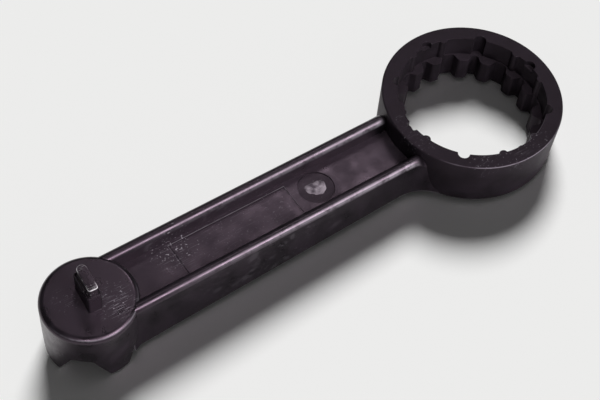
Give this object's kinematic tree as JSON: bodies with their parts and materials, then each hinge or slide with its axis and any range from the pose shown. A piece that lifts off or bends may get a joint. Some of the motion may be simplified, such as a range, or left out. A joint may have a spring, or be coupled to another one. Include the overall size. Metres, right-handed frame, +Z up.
{
  "type": "drum key",
  "caption": "Moulded plastic key for drums and jerrycans: a toothed ring turns screw caps, and the small head's lug crown and stepped key turn bung plugs.",
  "frame": {"origin": "under the middle of the tool's length and width, level with the tips of the crown lugs", "axes": "+X along the handle from the bung head to the ring, +Z up along the ring's axis towards the stepped key"},
  "size_m": [0.2969, 0.095, 0.052],
  "materials": {
    "black_moulding": "satin black injection-moulded plastic, scuffed, with pale worn edges"
  },
  "bodies": {
    "root": {"ring_collar": "black_moulding", "ring_toothed_skirt": "black_moulding", "handle_web": "black_moulding", "near_rail": "black_moulding", "far_rail": "black_moulding", "bung_head_disc": "black_moulding", "bung_head_skirt": "black_moulding", "lug_inner": "black_moulding", "lug_far": "black_moulding", "lug_outer": "black_moulding", "lug_near": "black_moulding", "key_base": "black_moulding", "key_tip": "black_moulding"}
  },
  "joints": []
}
